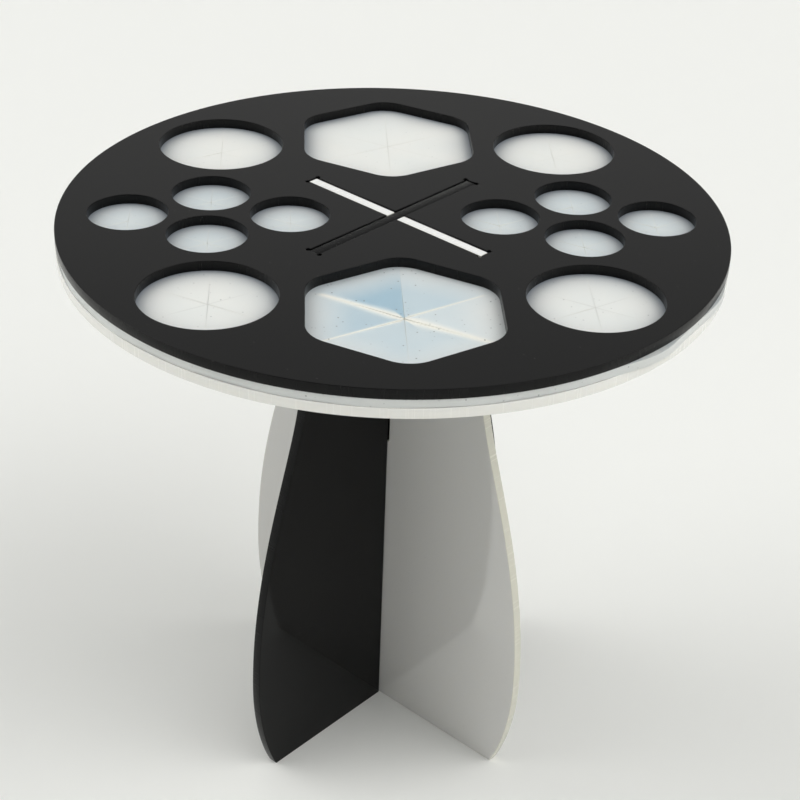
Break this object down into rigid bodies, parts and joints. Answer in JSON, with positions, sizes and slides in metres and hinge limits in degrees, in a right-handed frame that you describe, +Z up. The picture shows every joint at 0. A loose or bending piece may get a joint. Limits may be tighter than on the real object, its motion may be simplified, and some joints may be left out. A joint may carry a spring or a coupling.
{
  "type": "brush drying stand",
  "caption": "Knock-down acrylic stand: a round deck with round and hexagonal holes over a slit silicone sheet, on two crossed, slotted legs.",
  "frame": {"origin": "on the floor, under the middle of the stand", "axes": "+Z up out of the deck, +X to the right and +Y away from a person who has a hexagonal opening in front of them; the legs lie at 45 degrees to X and Y"},
  "size_m": [0.2, 0.2, 0.184],
  "materials": {
    "black_acrylic": "polished cast sheet with laser-cut edges",
    "white_acrylic": "polished opal sheet with laser-cut edges",
    "milky_silicone": "satin, translucent"
  },
  "bodies": {
    "white_leg": {"white_leg": "white_acrylic"},
    "black_leg": {"black_leg": "black_acrylic"},
    "deck": {"top_plate": "black_acrylic", "silicone_sheet": "milky_silicone", "bottom_plate": "white_acrylic"}
  },
  "joints": [
    {"name": "black_leg_lift", "type": "slide", "parent": "white_leg", "child": "black_leg", "axis": [0, 0, 1], "range_m": [0, 0.19]},
    {"name": "deck_lift", "type": "slide", "parent": "black_leg", "child": "deck", "axis": [0, 0, 1], "range_m": [0, 0.03]}
  ]
}
